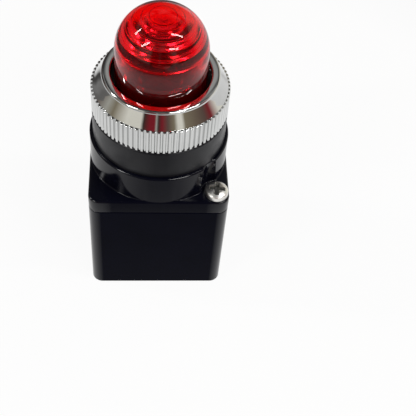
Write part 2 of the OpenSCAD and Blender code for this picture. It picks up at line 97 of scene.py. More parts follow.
# Bezel knurl: the flat of a tooth, the floor of a gap and the softness of a corner are shares of the
# pitch. A corner is drawn in by one part in CORNER_DRAW of the rise beside it
KNURL_TEETH = 80
KNURL_DEPTH = 0.45 * MM
KNURL_LAND = 0.4
KNURL_FLOOR = 0.3
KNURL_SOFT = 0.025
HALF_PITCH = 0.5
CORNER_DRAW = 3
KNURL_H = 6.3 * MM
KNURL_END_ROUND = 0.24 * MM

# Bezel foot, cone, lip, bores and mesh
BEZEL_FOOT = 0.3 * MM
BEZEL_FOOT_ROUND = 0.12 * MM
BEZEL_ROUND = 0.1 * MM
CONE_STEP = 0.48 * MM
CONE_STEP_H = 0.05 * MM
CONE_STEP_ROUND = 0.04 * MM
CONE_H = 2.9 * MM
CONE_TOP_R = 12.6 * MM
LIP_EDGE = 0.55 * MM
LIP_INNER_EDGE = 0.4 * MM
BEZEL_BORE_R = 10.6 * MM
BEZEL_THREAD_R = 12.5 * MM
BEZEL_SHOULDER = 4.6 * MM
BEZEL_ARC = 4
BEZEL_STRETCH = 1.6 * MM

# Spacer ring
SPACER_BORE_R = 12.6 * MM
SPACER_CHAMFER = 0.3 * MM
SPACER_BORE_ROUND = 0.1 * MM
SPACER_FOOT_ROUND = 0.12 * MM
SPACER_TOP_ROUND = 0.2 * MM
SPACER_COLUMNS = 240

# Operator body: flange, collar, notches and barrel
CORNER_R = 2.5 * MM
FLANGE_T = 3.6 * MM
FLANGE_EDGE = 0.5 * MM
FLANGE_FOOT_EDGE = 0.18 * MM
FLANGE_ARC = 7
COLLAR_INSET = 0.1 * MM
COLLAR_H = 7.5 * MM
COLLAR_CHAMFER = 0.25 * MM
COLLAR_ROUND = 0.2 * MM
COLLAR_TOP_ROUND = 0.15 * MM
COLLAR_FOOT = 0.3 * MM
COLLAR_ARC = 5
NOTCH_R = 3.9 * MM
NOTCH_TOP_R = 3.3 * MM
NOTCH_CORNERS = (-EIGHTH_TURN, 3 * EIGHTH_TURN)
BARREL_R = 12.4 * MM
BARREL_BORE_R = 11.4 * MM
BARREL_FOOT_ROUND = 0.1 * MM
BARREL_TOP_ROUND = 0.3 * MM
BARREL_BORE_ROUND = 0.2 * MM
BARREL_ARC = 4
CHAMBER_R = 12.4 * MM
OPERATOR_COLUMNS = 480

# Fixing screws: each is the side of the diagonal that it is on and its turn in degrees
SCREW_AT = 12.85 * MM
SCREW_R = 1.5 * MM
SCREW_HEAD_R = 2.55 * MM
SCREW_HEAD_H = 2.0 * MM
FIXING_SCREWS = ((1, -8), (-1, 70))

# Terminal screws: their turn in degrees differs by the row and the side
TERMINAL_PITCH = 9.0 * MM
TERMINAL_X = 11.4 * MM
TERMINAL_SCREW_R = 1.75 * MM
TERMINAL_HEAD_R = 3.0 * MM
TERMINAL_HEAD_H = 2.0 * MM
TERMINAL_TURN = 17
TURN_BY_ROW = 31
TURN_BY_SIDE = 12

# Screw heads: the rim, the crown's height and the recess's depth are shares of the head's height, the
# recess's wall is a share of the recess's width, and the other shares are of the head's radius
RIM_H = 0.62
RIM_ROUND = 0.25
CROWN_R = 0.6
CROWN_H = 0.93
CROWN_ROUND = 0.5
RECESS_REACH = 0.68
RECESS_WIDTH = 0.17
RECESS_DEPTH = 0.7
RECESS_WALL = 0.5
TIP_ROUND = 0.2 * MM
HEAD_FOOT_ROUND = 0.1 * MM
HEAD_STRETCH = 0.09 * MM
SCREW_COLUMNS = 96

# Return spring
SPRING_WIRE = 0.7 * MM
SPRING_TURNS = 4
SPRING_STEPS = 48
WIRE_COLUMNS = 12

# Finishes: each noise is its waves to the metre and its detail, and the middle of its range is used
SHARE = (0, 1)
EVEN = (1, 1, 1)
ROLLED = (1, 6, 1)
NOISE_MIDDLE = (0.3, 0.7)
PLASTIC_INDEX = 1.5
PLASTIC_CLOUDS = (140, 3)
PLASTIC_PATCHES = (420, 5)
PLASTIC_GRAIN_DETAIL = 4
METAL_CLOUDS = (180, 4)
METAL_PATCHES = (600, 4)
METAL_GRAIN_DETAIL = 3
CLEAR_CLOUDS = (90, 2)
CLEAR_PATCHES = (500, 3)
CLEAR_RIPPLE = (160, 2)
ZONE_BLEND = 0.1 * MM

# Floor: half of its side, and what metal mirrors of it. That is a white sheet with a dark mat round it,
# then a dim floor on the left, and on the right a pale one that covers the mat
FLOOR_HALF = 30.0
FLOOR_GLOW = 0.93
FLOOR_ROUGHNESS = 0.6
FLOOR_DARK = (0.08, 0.08, 0.08)
FLOOR_PALE = (0.86, 0.86, 0.86)
SHEET_SPAN = (0.11, 0.16)
MAT_SPAN = (0.19, 0.26)
DIM_LEFT = 0.12
PALE_RIGHT = 0.85
RIGHT_SPAN = (0.03, 0.12)

# Strip lamps: distance, height of the point they face, width, power and the directions of their ends
LAMP_REACH = 0.55
LAMP_AIM = 0.065
LAMP_WIDTH = 0.04
LAMP_WATTS_PER_AREA = 95
STRIPS = {
    "strip_left": ((172.5, 28.7), (166, 44.6)),
    "strip_right": ((-36, 68.3), (-10.8, 43.2)),
    "strip_front_left": ((-151.4, 27.2), (-137, 45.2)),
    "strip_front_right": ((-73.6, 38.9), (-44, 32.7)),
}

# Room below the ceiling, as colours by azimuth in degrees from +X
PALE = (0.95, 0.92, 0.82)
WALL = (0.48, 0.47, 0.42)
TAN = (0.27, 0.23, 0.16)
BROWN = (0.14, 0.09, 0.075)
RED = (0.26, 0.02, 0.03)
DARK = (0.05, 0.035, 0.03)
ROOM_BAND = (
    (-180, WALL), (-167, TAN), (-143, PALE), (-121, PALE), (-117, DARK), (-107, RED), (-99, RED),
    (-97, WALL), (-94, DARK), (-88, RED), (-79, BROWN), (-69, TAN), (-63, PALE), (-57, PALE), (-52, TAN),
    (-20, BROWN), (-9, RED), (6, PALE), (45, PALE), (70, TAN), (95, DARK), (146, DARK), (158, BROWN),
    (180, WALL))

# Ceiling: its clouds, and the heights of a direction between which the room turns into it and it turns dark
CLOUD_WAVES = (4.5, 2)
CLOUD_TURN = 10
CLOUD_SPAN = (0.42, 0.58)
CLOUD_DARK = (0.04, 0.04, 0.04)
CLOUD_LIGHT = (0.42, 0.42, 0.41)
CEILING_SPAN = (0.5, 0.58)
OVERHEAD_SPAN = (0.72, 0.88)
OVERHEAD = (0.06, 0.06, 0.06)

# What shows through the lens behind the object, and behind everything to the camera
BEHIND_SPAN = (-0.1, 0.2)
BEHIND = (0.75, 0.75, 0.75)
BACKDROP = (0.97, 0.97, 0.97)

# Camera: place, angles in degrees, and focal length in pixels of the 416 pixel frame
FRAME_PX = 416
SENSOR_MM = 36
CAMERA_AT = np.array([-4.87, -131.03, 174.29]) * MM
CAMERA_PITCH = 51.246
CAMERA_ROLL = -6.474
CAMERA_YAW = 7.786
CAMERA_FOCAL_PX = 833.3
CAMERA_NEAR = 5 * MM


def rounded(corners, steps=6):
    """An open outline with its corners rounded. Each corner is (x, y, radius): the two sides that meet
    there are cut back to the tangent points, and an arc of that radius joins them, sampled at equal
    angles."""
    points = np.array([c[:2] for c in corners], float)
    radii = [c[2] for c in corners[1:-1]]
    pieces = [points[:1]]
    for before, here, after, radius in zip(points[:-2], points[1:-1], points[2:], radii):
        a = (before - here) / np.linalg.norm(before - here)
        b = (after - here) / np.linalg.norm(after - here)
        half = math.acos(np.clip(a @ b, -1, 1)) / 2
        if radius <= 0 or half > math.pi / 2 - SLIGHT_BEND:
            pieces.append(here[None])
            continue
        centre = here + (a + b) / np.linalg.norm(a + b) * radius / math.sin(half)
        start = here + a * radius / math.tan(half) - centre
        end = here + b * radius / math.tan(half) - centre
        angle = math.atan2(start[0] * end[1] - start[1] * end[0], start @ end)
        turn = np.linspace(0, angle, steps + 1)[:, None]
        side = np.array([-start[1], start[0]])
        pieces.append(centre + start * np.cos(turn) + side * np.sin(turn))
    pieces.append(points[-1:])
    return np.concatenate(pieces)


def subdivided(profile, longest):
    """A profile with its long straight stretches cut into equal parts no longer than a given length."""
    parts = []
    for a, b in zip(profile[:-1], profile[1:]):
        count = max(1, math.ceil(np.linalg.norm(b - a) / longest))
        parts.append(a + (b - a) * np.linspace(0, 1, count, endpoint=False)[:, None])
    return np.concatenate(parts + [profile[-1:]])


def arc(centre, radius, first, last, steps):
    """Points on a circle from one angle to another, in degrees."""
    turn = np.radians(np.linspace(first, last, steps + 1))
    return np.stack([centre[0] + radius * np.cos(turn), centre[1] + radius * np.sin(turn)], 1)


def even_turn(count):
    """Equal angles round a full turn."""
    return np.arange(count) * TAU / count


def revolved(profile, turn):
    """A profile of (radius, height) carried round the axis: point (i, j) is profile point j turned by
    angle i."""
    heights = np.broadcast_to(profile[:, 1], (len(turn), len(profile)))
    x = np.outer(np.cos(turn), profile[:, 0])
    y = np.outer(np.sin(turn), profile[:, 0])
    return np.stack([x, y, heights], 2)


def rows_around(rows):
    """Rows round the axis, each with a radius for every column, one height and an angle for every column.
    Returns points (column, row): the radius along the cosine and sine of the angle, at the row's
    height."""
    radii = np.stack([row[0] for row in rows], 1)
    heights = np.array([row[1] for row in rows])
    turn = np.stack([row[2] for row in rows], 1)
    return np.stack([radii * np.cos(turn), radii * np.sin(turn), np.broadcast_to(heights, radii.shape)], 2)


def moved(points, rotation, place):
    """Turns a grid of points by a matrix and puts it in its place."""
    return points @ np.array(rotation).T + np.array(place)


def grid_faces(count_u, count_v, close_u, close_v):
    """Corner numbers of the four-sided faces of a grid, which may close on itself along either side."""
    u = np.arange(count_u if close_u else count_u - 1)[:, None]
    v = np.arange(count_v if close_v else count_v - 1)[None, :]
    next_u = (u + 1) % count_u
    next_v = (v + 1) % count_v
    corners = [u * count_v + v, next_u * count_v + v, next_u * count_v + next_v, u * count_v + next_v]
    return np.stack(corners, 2).reshape(-1, 4)


def merge_close_points(mesh):
    """Joins points that fall together and drops the faces that this flattens."""
    work = bmesh.new()
    work.from_mesh(mesh)
    bmesh.ops.remove_doubles(work, verts=work.verts, dist=MERGE_GAP)
    bmesh.ops.dissolve_degenerate(work, edges=work.edges, dist=SHORT_EDGE)
    work.to_mesh(mesh)
    work.free()


def piece_of(name, grids, close_u=True, close_v=False, sharp=35, recess=None):
    """One mesh object of one or more grids of points. Points that fall together, as at a pole, are
    merged, and edges that bend more than the sharp angle stay crisp. A recess gives each point's depth in
    it, from 0 to 1, for the painted recess shade to read."""
    points = []
    faces = []
    start = 0
    for grid in grids:
        faces.append(grid_faces(grid.shape[0], grid.shape[1], close_u, close_v) + start)
        points.append(grid.reshape(-1, 3))
        start += len(points[-1])
    mesh = bpy.data.meshes.new(name)
    mesh.from_pydata(np.concatenate(points).tolist(), [], np.concatenate(faces).tolist())
    if recess:
        depths = np.concatenate(recess).ravel()
        mesh.attributes.new("recess", "FLOAT", "POINT").data.foreach_set("value", depths)
    merge_close_points(mesh)
    mesh.shade_smooth()
    mesh.set_sharp_from_angle(angle=math.radians(sharp))
    made = bpy.data.objects.new(name, mesh)
    bpy.context.scene.collection.objects.link(made)
    return made


def placed(made, body, material, node):
    """Dresses a piece, rides it on its body, and hides the node that it stands for."""
    made.data.materials.append(material)
    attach(made, body)
    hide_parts(node)


# Shading nodes

def feed(tree, socket, value):
    """Links another node's output to a socket, or sets the socket to a constant."""
    if isinstance(value, bpy.types.NodeSocket):
        tree.links.new(value, socket)
    else:
        socket.default_value = value


def computed(tree, operation, *values, clamp=False):
    """One sum on one or two numbers, held between 0 and 1 where clamp is set."""
    node = tree.nodes.new("ShaderNodeMath")
    node.operation = operation
    node.use_clamp = clamp
    for socket, value in zip(node.inputs, values):
        feed(tree, socket, value)
    return node.outputs["Value"]


def ranged(tree, source, values, span):
    """Goes from the first value to the second as a number goes from one end of its span to the other."""
    spread = tree.nodes.new("ShaderNodeMapRange")
    names = ("Value", "From Min", "From Max", "To Min", "To Max")
    for name, value in zip(names, (source, *span, *values)):
        feed(tree, spread.inputs[name], value)
    return spread.outputs["Result"]


def mixed(tree, factor, first, second, kind="RGBA"):
    """Goes from a first colour or number to a second one as a factor goes from 0 to 1."""
    mix = tree.nodes.new("ShaderNodeMix")
    mix.data_type = kind
    for name, value in (("Factor", factor), ("A", first), ("B", second)):
        feed(tree, mix.inputs[name], (*value, 1) if isinstance(value, tuple) else value)
    return mix.outputs["Result"]


def own_place(tree, kind="Object"):
    """A point's place on its own piece, or its direction in the world."""
    return tree.nodes.new("ShaderNodeTexCoord").outputs[kind]


def axes_of(tree, vector):
    """The three numbers of a vector, by the names of the axes."""
    split = tree.nodes.new("ShaderNodeSeparateXYZ")
    feed(tree, split.inputs["Vector"], vector)
    return split.outputs


def length_of(tree, vector):
    """The length of a vector."""
    node = tree.nodes.new("ShaderNodeVectorMath")
    node.operation = "LENGTH"
    feed(tree, node.inputs[0], vector)
    return node.outputs["Value"]


def noise_over(tree, vector, waves, squeeze=EVEN, turn=0):
    """A noise over places or directions, which are scaled along each axis and turned about the upright
    one."""
    mapping = tree.nodes.new("ShaderNodeMapping")
    feed(tree, mapping.inputs["Vector"], vector)
    feed(tree, mapping.inputs["Rotation"], (0, 0, math.radians(turn)))
    feed(tree, mapping.inputs["Scale"], squeeze)
    noise = tree.nodes.new("ShaderNodeTexNoise")
    feed(tree, noise.inputs["Vector"], mapping.outputs["Vector"])
    for name, value in zip(("Scale", "Detail"), waves):
        feed(tree, noise.inputs[name], value)
    return noise.outputs["Fac"]


# Finishes

def shader_of(material):
    """The Principled shader of a material."""
    return material.node_tree.nodes["Principled BSDF"]


def new_material(name, **values):
    """A Principled material with constants set on the shader's own sockets."""
    material = bpy.data.materials.new(name)
    material.use_nodes = True
    for socket, value in values.items():
        shader_of(material).inputs[socket.replace("_", " ")].default_value = value
    return material


def dressed(material, colours, rough, clouds, patches, grain, height, squeeze=EVEN):
    """Gives a material two close colours in soft clouds, a patchy polish, and a fine grain that rises by
    a height in metres. Clouds, patches and grain are noises, and the last two may be squeezed along an
    axis."""
    tree, sockets = material.node_tree, shader_of(material).inputs
    place = own_place(tree)
    shade = ranged(tree, noise_over(tree, place, clouds), SHARE, NOISE_MIDDLE)
    polish = ranged(tree, noise_over(tree, place, patches, squeeze), rough, NOISE_MIDDLE)
    bump = tree.nodes.new("ShaderNodeBump")
    feed(tree, bump.inputs["Distance"], height)
    feed(tree, bump.inputs["Height"], noise_over(tree, place, grain, squeeze))
    feed(tree, sockets["Base Color"], mixed(tree, shade, *colours))
    feed(tree, sockets["Roughness"], polish)
    feed(tree, sockets["Normal"], bump.outputs["Normal"])
    return material


def moulded_plastic(name, colours, rough, grain, height):
    """Moulded plastic with a fine grain."""
    return dressed(new_material(name, IOR=PLASTIC_INDEX), colours, rough, PLASTIC_CLOUDS, PLASTIC_PATCHES,
                   (grain, PLASTIC_GRAIN_DETAIL), height)


def plated_metal(name, colours, rough, grain, height, squeeze=EVEN):
    """Plated or rolled metal. Where it was rolled, its polish and grain are squeezed along one axis."""
    return dressed(new_material(name, Metallic=1.0), colours, rough, METAL_CLOUDS, METAL_PATCHES,
                   (grain, METAL_GRAIN_DETAIL), height, squeeze)


def clear_plastic(name, colours, rough, height, clear, index):
    """Clear coloured plastic or glass, with the slight ripple of a moulded piece for a grain."""
    return dressed(new_material(name, IOR=index, Transmission_Weight=clear), colours, rough, CLEAR_CLOUDS,
                   CLEAR_PATCHES, CLEAR_RIPPLE, height)


# Painted sheen, set by place and not by the light: how strongly a moulding mirrors from a height
# upwards, in the middle, at the sides, and the distances to either side of the middle between which the
# one turns into the other
PaintedSheenZone = namedtuple("PaintedSheenZone", "height middle sides span")


def painted_side_sheen(material, *zones):
    """Paints sheen on a black moulding by place: sets how strongly it mirrors, more at its sides than in
    the middle, standing in for brighter surroundings there. Each zone takes over from the one before at its
    height."""
    tree = material.node_tree
    axes = axes_of(tree, own_place(tree))
    aside = computed(tree, "ABSOLUTE", axes["X"])
    level = None
    for zone in zones:
        strength = ranged(tree, aside, (zone.middle, zone.sides), zone.span)
        if level:
            above = ranged(tree, axes["Z"], SHARE, (zone.height - ZONE_BLEND, zone.height + ZONE_BLEND))
            strength = mixed(tree, above, level, strength, "FLOAT")
        level = strength
    feed(tree, shader_of(material).inputs["Specular IOR Level"], level)


def painted_recess_shade(material, dark):
    """Paints shade into a metal's colour where its piece has a recess, darker by the depth there."""
    tree = material.node_tree
    colour = shader_of(material).inputs["Base Color"]
    depth = tree.nodes.new("ShaderNodeAttribute")
    depth.attribute_name = "recess"
    feed(tree, colour, mixed(tree, depth.outputs["Fac"], colour.links[0].from_socket, dark))


def lens_plastic():
    """The lens's red plastic. Its polish goes by the distance from the axis, or from the dome's middle
    above that: bright at the outer radius, duller on the steps inside."""
    material = clear_plastic("lens_red", ((0.96, 0.005, 0.012), (0.99, 0.007, 0.016)), rough=(0.6, 1.4),
                             height=0.0012 * MM, clear=0.98, index=1.585)
    tree, sockets = material.node_tree, shader_of(material).inputs
    sockets["Specular Tint"].default_value = (0.5, 0.38, 0.38, 1)
    outer = LENS_HIGH.x
    axes = axes_of(tree, own_place(tree))
    rise = computed(tree, "SUBTRACT", axes["Z"], LENS_HIGH.z - outer, clamp=True)
    from_middle = tree.nodes.new("ShaderNodeCombineXYZ")
    for name, value in (("X", axes["X"]), ("Y", axes["Y"]), ("Z", rise)):
        feed(tree, from_middle.inputs[name], value)
    dull = ranged(tree, length_of(tree, from_middle.outputs["Vector"]), (INNER_ROUGHNESS, OUTER_ROUGHNESS),
                  (outer - INNER_DEPTH, outer - OUTER_DEPTH))
    patchy = sockets["Roughness"].links[0].from_socket
    feed(tree, sockets["Roughness"], computed(tree, "MULTIPLY", dull, patchy))
    return material


# Painted sheen: the black mouldings below mirror more strongly at their sides than in their middle
housing_black = moulded_plastic("housing_black", ((0.0010, 0.0012, 0.0050), (0.0016, 0.0018, 0.0066)),
                                rough=(0.08, 0.16), grain=2600, height=0.002 * MM)
painted_side_sheen(housing_black, PaintedSheenZone(height=0, middle=0.02, sides=0.40, span=(13.0 * MM, 15.4 * MM)))
operator_black = moulded_plastic("operator_black", ((0.0020, 0.0022, 0.0056), (0.0030, 0.0032, 0.0074)),
                                 rough=(0.08, 0.16), grain=2600, height=0.002 * MM)
painted_side_sheen(operator_black, PaintedSheenZone(height=0, middle=0.03, sides=0.40, span=(10.5 * MM, 15.2 * MM)),
            PaintedSheenZone(height=CASE_HIGH.z + FLANGE_T, middle=0.08, sides=0.20, span=(2 * MM, 8 * MM)))
spacer_black = moulded_plastic("spacer_black", ((0.006, 0.0062, 0.0085), (0.010, 0.0102, 0.0128)),
                               rough=(0.30, 0.42), grain=3200, height=0.006 * MM)
painted_side_sheen(spacer_black, PaintedSheenZone(height=0, middle=0.085, sides=0.20, span=(1 * MM, 7 * MM)))
holder_black = moulded_plastic("holder_black", ((0.010, 0.010, 0.011), (0.018, 0.018, 0.018)),
                               rough=(0.35, 0.5), grain=3000, height=0.006 * MM)
moulding_cream = moulded_plastic("moulding_cream", ((0.60, 0.56, 0.45), (0.68, 0.64, 0.53)),
                                 rough=(0.35, 0.5), grain=2600, height=0.005 * MM)
insulator_brown = moulded_plastic("insulator_brown", ((0.18, 0.08, 0.04), (0.27, 0.13, 0.07)),
                                  rough=(0.45, 0.6), grain=2000, height=0.01 * MM)
bezel_chrome = plated_metal("bezel_chrome", ((0.55, 0.555, 0.55), (0.61, 0.615, 0.61)),
                            rough=(0.03, 0.07), grain=1500, height=0.001 * MM)
screw_nickel = plated_metal("screw_nickel", ((0.74, 0.73, 0.70), (0.84, 0.83, 0.80)),
                            rough=(0.30, 0.42), grain=2200, height=0.006 * MM)
# Painted shade: the screws are darkened in their cross recesses by the depth there
painted_recess_shade(screw_nickel, dark=(0.26, 0.26, 0.25))
spring_steel = plated_metal("spring_steel", ((0.45, 0.45, 0.46), (0.56, 0.56, 0.57)),
                            rough=(0.22, 0.36), grain=2600, height=0.004 * MM)
terminal_brass = plated_metal("terminal_brass", ((0.68, 0.48, 0.18), (0.76, 0.57, 0.26)),
                              rough=(0.20, 0.34), grain=1800, height=0.003 * MM, squeeze=ROLLED)
contact_copper = plated_metal("contact_copper", ((0.62, 0.31, 0.17), (0.70, 0.40, 0.24)),
                              rough=(0.22, 0.36), grain=1800, height=0.003 * MM, squeeze=ROLLED)
lens_red = lens_plastic()
lamp_clear = clear_plastic("lamp_clear", ((0.93, 0.92, 0.90), (0.97, 0.96, 0.95)), rough=(0.01, 0.04),
                           height=0.003 * MM, clear=1.0, index=1.5)


# Lens

def lens_profile():
    """Half section of the lens, from the inner pole down the round steps to the foot and up the outside.
    Each step is a cylinder whose edge lies on the inner dome, so its height is the dome's at that radius.
    The innermost one lies a little lower."""
    radius = LENS_HIGH.x
    foot = LENS_LOW.z
    dome = LENS_HIGH.z - radius
    dome_in = radius - DOME_WALL
    tiers = [(share * dome_in, dome + dome_in * math.sqrt(1 - share * share)) for share in TIER_SHARES]
    crown = tiers[-1][1] - CROWN_DROP
    tiers[-1] = (tiers[-1][0], crown)
    inner = radius - LENS_WALL
    corners = [(0, crown + DIMPLE_H, 0), (DIMPLE_R, crown + DIMPLE_H, TIER_ROUND),
               (DIMPLE_R, crown, TIER_ROUND)]
    for (r, z), below in zip(tiers[::-1], [*tiers[-2::-1], (inner, dome + FOOT_TIER)]):
        corners += [(r, z, TIER_ROUND), (r, below[1], TIER_ROUND)]
    corners += [(inner, dome + FOOT_TIER, TIER_ROUND), (inner, foot, TIER_ROUND),
                (radius, foot, TIER_ROUND), (radius, dome, 0)]
    outside = arc((0, dome), radius, 0, 90, DOME_STEPS)
    outside[-1, 0] = 0
    return subdivided(np.concatenate([rounded(corners), outside[1:]]), LENS_STRETCH)


lens = piece_of("lens_dome", [revolved(lens_profile(), even_turn(LENS_COLUMNS))], sharp=60)
placed(lens, "button", lens_red, "lens")


# Bezel

def bezel_profile():
    """Half section of the bezel, once round: foot, knurl, cone, flat lip, bore, shoulder and thread bore.
    The cone starts just inside the floors of the knurl's gaps."""
    tip = BEZEL_HIGH.x
    low, crest = BEZEL_LOW.z, BEZEL_HIGH.z
    cone = low + KNURL_H
    lip = cone + CONE_H
    shoulder = low + BEZEL_SHOULDER
    middle = (BEZEL_THREAD_R, (low + shoulder) / 2, 0)
    corners = [middle, (BEZEL_THREAD_R, low, BEZEL_ROUND), (tip - BEZEL_FOOT, low, BEZEL_ROUND),
               (tip, low + BEZEL_FOOT, BEZEL_FOOT_ROUND), (tip, cone, KNURL_END_ROUND),
               (tip - CONE_STEP, cone + CONE_STEP_H, CONE_STEP_ROUND), (CONE_TOP_R, lip, BEZEL_ROUND),
               (CONE_TOP_R, crest, LIP_EDGE), (BEZEL_BORE_R, crest, LIP_INNER_EDGE),
               (BEZEL_BORE_R, shoulder, BEZEL_ROUND), (BEZEL_THREAD_R, shoulder, BEZEL_ROUND), middle]
    return subdivided(rounded(corners, BEZEL_ARC), BEZEL_STRETCH)[:-1]


def knurl_outline():
    """Angles and radii of the knurled outline: flat-topped teeth with straight flanks down to flat gap
    floors. Each corner has a point on both sides of it, and is itself drawn in by a share of the rise
    beside it."""
    low, high, soft = KNURL_FLOOR / 2, (1 - KNURL_LAND) / 2, KNURL_SOFT
    half = np.array([0, low / 2, low - soft, low, low + soft,
                     high - soft, high, high + soft, (high + HALF_PITCH) / 2])
    share = np.concatenate([half, [HALF_PITCH], 1 - half[:0:-1]])
    near = np.minimum(share, 1 - share)
    rise = np.clip((near - low) / (high - low), 0, 1)
    step = soft / (high - low) / CORNER_DRAW
    rise = rise + step * (np.isclose(near, low) * 1.0 - np.isclose(near, high))
    turn = ((np.arange(KNURL_TEETH)[:, None] + share) * TAU / KNURL_TEETH).ravel()
    return turn, np.tile(BEZEL_HIGH.x - KNURL_DEPTH * (1 - rise), KNURL_TEETH)


def bezel_surface():
    """The section carried round the axis, with its outside held in by the knurled outline."""
    turn, outline = knurl_outline()
    profile = bezel_profile()
    radii = np.minimum(profile[None, :, 0], outline[:, None])
    heights = np.broadcast_to(profile[:, 1], radii.shape)
    return np.stack([np.cos(turn)[:, None] * radii, np.sin(turn)[:, None] * radii, heights], 2)


bezel = piece_of("bezel_knurled", [bezel_surface()], close_v=True, sharp=40)
placed(bezel, "housing", bezel_chrome, "bezel_ring")


# Spacer ring

def spacer_profile():
    """Half section of the spacer ring, once round: bore, foot, straight side and chamfered upper edge."""
    outer = SPACER_HIGH.x
    low, high = SPACER_LOW.z, SPACER_HIGH.z
    middle = (SPACER_BORE_R, (low + high) / 2, 0)
    corners = [middle, (SPACER_BORE_R, low, SPACER_BORE_ROUND), (outer, low, SPACER_FOOT_ROUND),
               (outer, high - SPACER_CHAMFER, SPACER_TOP_ROUND),
               (outer - SPACER_CHAMFER, high, SPACER_TOP_ROUND),
               (SPACER_BORE_R, high, SPACER_BORE_ROUND), middle]
    return rounded(corners)[:-1]


spacer = piece_of("spacer_band", [revolved(spacer_profile(), even_turn(SPACER_COLUMNS))], close_v=True)
placed(spacer, "housing", spacer_black, "panel_spacer")


# Operator body

def square_radius(turn, half, corner):
    """Distance from the axis to a square with round corners: to the flat side, or to the corner's circle
    where the ray meets it."""
    along = np.abs(np.cos(turn))
    across = np.abs(np.sin(turn))
    flat = half / np.maximum(along, across)
    middle = half - corner
    reach = middle * (along + across)
    root = np.maximum(reach * reach - 2 * middle * middle + corner * corner, 0)
    in_corner = np.minimum(along, across) * flat > middle
    return np.where(in_corner, reach + np.sqrt(root), flat)


def angle_from(turn, middle):
    """Angles measured from a middle one, between half a turn back and half a turn on."""
    return np.angle(np.exp(1j * (turn - middle)))


def collar_radius(turn, radius, notch):
    """Distance from the axis to the collar: its own circle, or the near side of a notch's circle where a
    ray passes through one."""
    away = math.hypot(SCREW_AT, SCREW_AT)
    found = np.full(len(turn), radius)
    for corner in NOTCH_CORNERS:
        off = angle_from(turn, corner)
        inside = notch * notch - (away * np.sin(off)) ** 2
        near = away * np.cos(off) - np.sqrt(np.maximum(inside, 0))
        found = np.where((inside > 0) & (np.abs(off) < EIGHTH_TURN), np.minimum(found, near), found)
    return found


def notch_half_angle(radius, notch):
    """Angle from a notch's middle to its edge on the collar's circle, from the triangle of the two
    radii."""
    away = math.hypot(SCREW_AT, SCREW_AT)
    return math.acos((radius ** 2 + away ** 2 - notch ** 2) / (2 * radius * away))


def collar_angles(count):
    """Equal angles, with the exact edges of the notches' foot and of the square's corners put in."""
    half_notch = notch_half_angle(CASE_HIGH.x - COLLAR_INSET, NOTCH_R)
    edges = [corner + side * half_notch for corner in NOTCH_CORNERS for side in (-1, 1)]
    tangent = math.atan2(CASE_HIGH.x - CORNER_R, CASE_HIGH.x)
    edges += [quarter * TAU / 4 + side * tangent for quarter in range(4) for side in (-1, 1)]
    return np.unique(np.round(np.concatenate([even_turn(count), np.array(edges) % TAU]), ANGLE_DIGITS))


def drawn_in(turn, half_angle):
    """Angles drawn towards each notch's middle, so that the columns at the notch's foot edge meet its
    edge at another height. Halfway to the next corner nothing moves."""
    foot = notch_half_angle(CASE_HIGH.x - COLLAR_INSET, NOTCH_R)
    drawn = turn.copy()
    for corner in NOTCH_CORNERS:
        off = angle_from(turn, corner)
        new = np.sign(off) * np.interp(np.abs(off), [0, foot, EIGHTH_TURN], [0, half_angle, EIGHTH_TURN])
        drawn = np.where(np.abs(off) < EIGHTH_TURN, corner + new, drawn)
    return drawn


def operator_surface():
    """Flange, collar and barrel as rows round the axis, bottom to top and back down the bore. The
    flange's rows follow the square, drawn in by the edge's rounding, and never run inside the collar that
    stands on them. The collar's rows are its circle less the notches, which narrow towards the top."""
    turn = collar_angles(OPERATOR_COLUMNS)
    half = CASE_HIGH.x
    flange = CASE_HIGH.z
    top = flange + FLANGE_T
    collar_top = top + COLLAR_H
    barrel_top = BODY_HIGH.z
    collar = half - COLLAR_INSET
    ones = np.ones(len(turn))
    foot = collar_radius(turn, collar, NOTCH_R)
    rows = [(ones * CHAMBER_R, flange, turn)]
    side = rounded([(-RUN_ON, flange, 0), (0, flange, FLANGE_FOOT_EDGE), (0, top, FLANGE_EDGE),
                    (-RUN_ON, top, 0)], FLANGE_ARC)[1:-1]
    for back, z in side:
        square = square_radius(turn, half + back, CORNER_R + back)
        rows.append((np.maximum(square, foot) if z > top - FLANGE_EDGE else square, z, turn))
    wall = rounded([(RUN_ON, top, 0), (0, top, COLLAR_FOOT), (0, collar_top - COLLAR_CHAMFER, COLLAR_ROUND),
                    (-COLLAR_CHAMFER, collar_top, COLLAR_TOP_ROUND), (-RUN_ON, collar_top, 0)],
                   COLLAR_ARC)[1:-1]
    limit = np.maximum(square_radius(turn, half - FLANGE_EDGE, CORNER_R - FLANGE_EDGE), foot)
    for out, z in wall:
        notch = NOTCH_R + (NOTCH_TOP_R - NOTCH_R) * (z - top) / COLLAR_H
        row_turn = drawn_in(turn, notch_half_angle(collar + min(out, 0), notch - min(out, 0)))
        row = collar_radius(row_turn, collar + out, notch - out)
        rows.append((np.minimum(row, limit) if out > 0 else row, z, row_turn))
    barrel = rounded([(BARREL_R + RUN_ON, collar_top, 0), (BARREL_R, collar_top, BARREL_FOOT_ROUND),
                      (BARREL_R, barrel_top, BARREL_TOP_ROUND),
                      (BARREL_BORE_R, barrel_top, BARREL_BORE_ROUND),
                      (BARREL_BORE_R, collar_top, 0)], BARREL_ARC)[1:]
    rows += [(ones * r, z, turn) for r, z in barrel]
    return rows_around(rows)


operator = piece_of("operator_collar", [operator_surface()], close_v=True, sharp=32)
placed(operator, "housing", operator_black, "operator_body")


# Screws

def cross_depth(x, y, reach, width):
    """How deep a cross recess is at a point, from 0 outside to 1 on its floor, with steep soft walls. A
    wall rises evenly and is halfway at its limit, and the rise r is smoothed to 3 r squared less 2 r
    cubed."""

    def inside(value, limit):
        return np.clip((limit - np.abs(value)) / (width * RECESS_WALL) + 0.5, 0, 1)

    arms = np.maximum(inside(x, reach) * inside(y, width), inside(x, width) * inside(y, reach))
    return arms * arms * (3 - 2 * arms)


